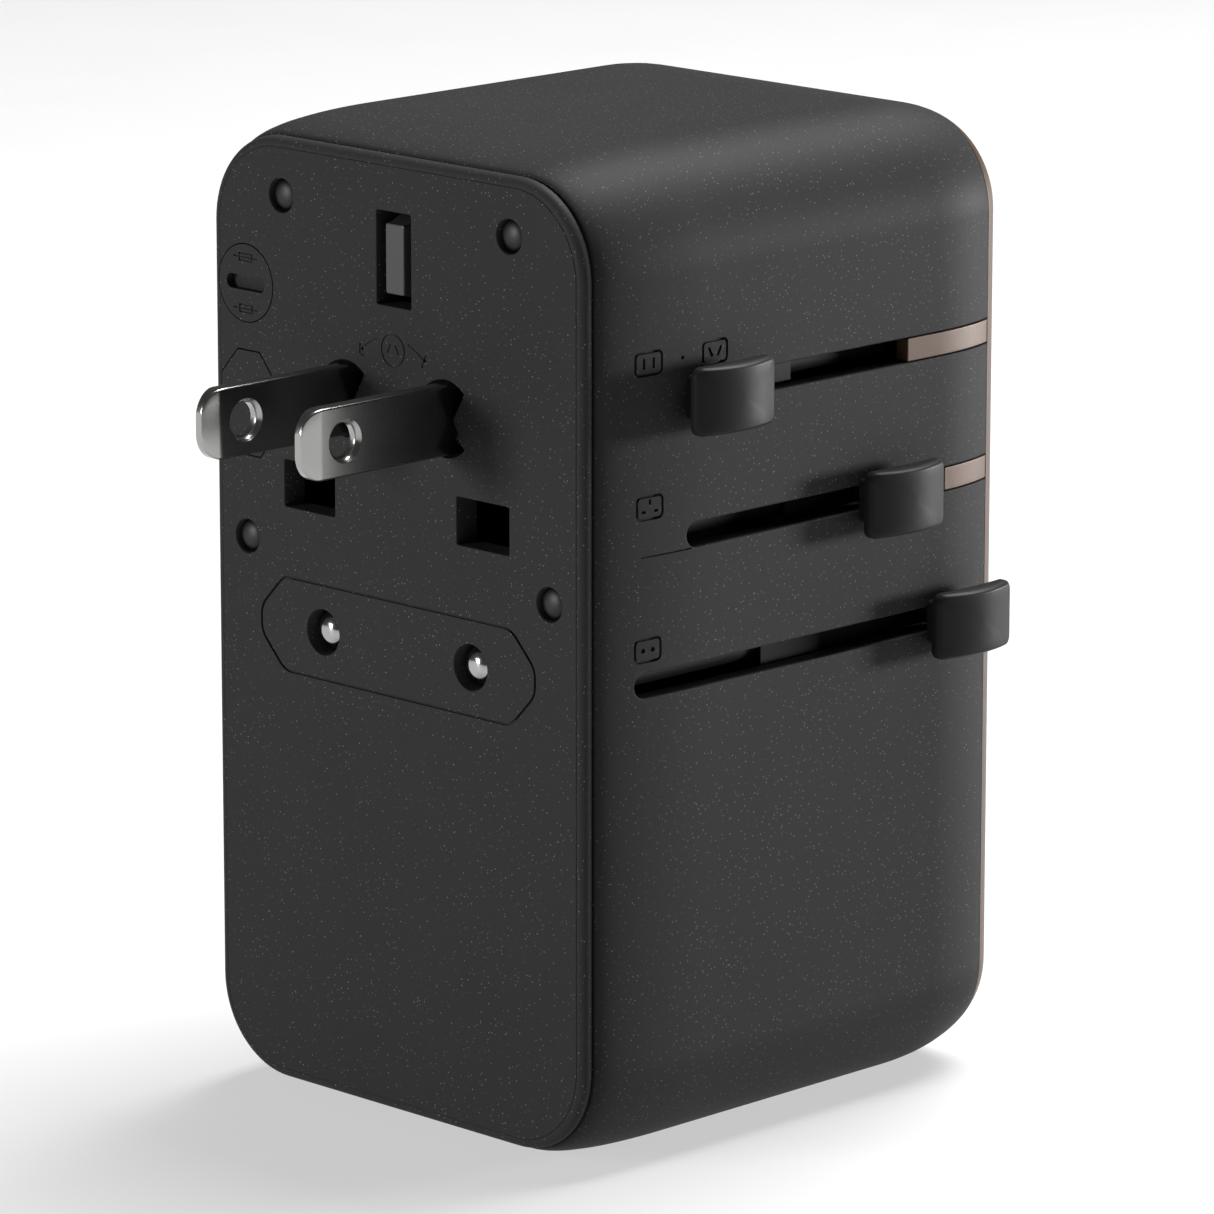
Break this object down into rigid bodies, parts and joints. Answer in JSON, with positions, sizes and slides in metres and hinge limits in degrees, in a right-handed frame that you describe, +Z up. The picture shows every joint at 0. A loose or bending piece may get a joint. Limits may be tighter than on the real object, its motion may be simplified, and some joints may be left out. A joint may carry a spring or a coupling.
{
  "type": "universal travel adapter",
  "caption": "Hand-sized universal mains adapter: rounded speckled black body, copper rear cover, slider knobs that push out flat blades, square pins or round pins, and a rear socket.",
  "frame": {"origin": "centre of the flat base the adapter stands on, midway between the plug face and the rear face", "axes": "+Z up to the end with the earth pin, -Y out of the plug face along the pins, +X out of the side with the slider knobs"},
  "size_m": [0.0542, 0.0715, 0.0903],
  "materials": {
    "speckled_black": "fine-grained matt with light specks",
    "speckled_face": "fine-grained matt with light specks",
    "knob_black": "smooth satin",
    "copper_finish": "satin copper brown",
    "gloss_black": "gloss",
    "dark_plastic": "matt",
    "grey_plastic": "satin",
    "steel": "polished",
    "dark_steel": "blackened",
    "brass": "bright",
    "ceramic": "glazed",
    "lens": "frosted",
    "board_green": "solder mask",
    "ferrite": "matt",
    "copper_wire": "enamelled",
    "capacitor_sleeve": "satin",
    "film_yellow": "satin"
  },
  "bodies": {
    "shell": {"housing_sleeve": "speckled_black", "uk_slot_filler": "speckled_black", "plug_face_cap": "speckled_face", "case_screws": "dark_steel", "rear_cover": "copper_finish", "status_lens": "lens", "socket_insert": "gloss_black", "socket_chassis": "dark_plastic", "shutter_spring": "steel", "contact_live": "brass", "contact_neutral": "brass", "contact_earth": "brass", "supply_straps": "brass", "guide_frame": "dark_plastic", "guide_rods": "dark_steel", "detent_springs": "dark_steel", "spare_fuse_tube": "dark_plastic", "spare_fuse": "ceramic", "spare_fuse_ends": "steel", "fuse_clips": "brass", "port_frame": "gloss_black", "usb_a_socket": "steel", "usb_a_tongue": "grey_plastic", "usb_c_sockets": "steel", "usb_c_tongues": "dark_plastic", "port_board": "board_green", "charger_board": "board_green", "transformer_core": "ferrite", "transformer_winding": "copper_wire", "bulk_capacitors": "capacitor_sleeve", "film_capacitor": "film_yellow", "choke": "ferrite", "power_chips": "dark_plastic"},
    "us_slider": {"us_carriage": "dark_plastic", "us_knob": "knob_black"},
    "us_left": {"us_blade_left": "steel", "us_clip_left": "dark_steel"},
    "us_right": {"us_blade_right": "steel", "us_clip_right": "dark_steel"},
    "uk_slider": {"uk_carriage": "dark_plastic", "uk_knob": "knob_black", "uk_pin_live": "steel", "uk_pin_neutral": "steel", "uk_pin_earth": "grey_plastic", "uk_pin_sleeves": "dark_plastic"},
    "eu_slider": {"eu_carriage": "dark_plastic", "eu_knob": "knob_black", "eu_pin_left": "steel", "eu_pin_right": "steel", "eu_pin_sleeves": "dark_plastic"},
    "shutter": {"safety_shutter": "grey_plastic"},
    "coin_cap": {"spare_fuse_cap": "speckled_face"},
    "fuse_drawer": {"fuse_carrier": "speckled_face", "main_fuse": "ceramic", "main_fuse_ends": "steel"}
  },
  "joints": [
    {"name": "us_slide", "type": "slide", "parent": "shell", "child": "us_slider", "axis": [0, 1, 0], "range_m": [0, 0.0185]},
    {"name": "us_left_turn", "type": "hinge", "parent": "us_slider", "child": "us_left", "pos_m": [-0.00635, -0.018, 0.0663], "axis": [0, 1, 0], "range_deg": [-30, 30]},
    {"name": "us_right_turn", "type": "hinge", "parent": "us_slider", "child": "us_right", "pos_m": [0.00635, -0.018, 0.0663], "axis": [0, 1, 0], "range_deg": [-30, 30]},
    {"name": "uk_slide", "type": "slide", "parent": "shell", "child": "uk_slider", "axis": [0, -1, 0], "range_m": [0, 0.0233]},
    {"name": "eu_slide", "type": "slide", "parent": "shell", "child": "eu_slider", "axis": [0, -1, 0], "range_m": [0, 0.0204]},
    {"name": "shutter_slide", "type": "slide", "parent": "shell", "child": "shutter", "axis": [0, 0, -1], "range_m": [0, 0.0062], "stiffness_N_per_m": 60, "springref_m": -0.003, "deforming": ["shutter_spring"]},
    {"name": "coin_turn", "type": "hinge", "parent": "shell", "child": "coin_cap", "pos_m": [-0.0193, -0.026, 0.075], "axis": [0, 1, 0], "range_deg": [0, 90]},
    {"name": "fuse_pull", "type": "slide", "parent": "shell", "child": "fuse_drawer", "axis": [0, -1, 0], "range_m": [0, 0.02]}
  ]
}
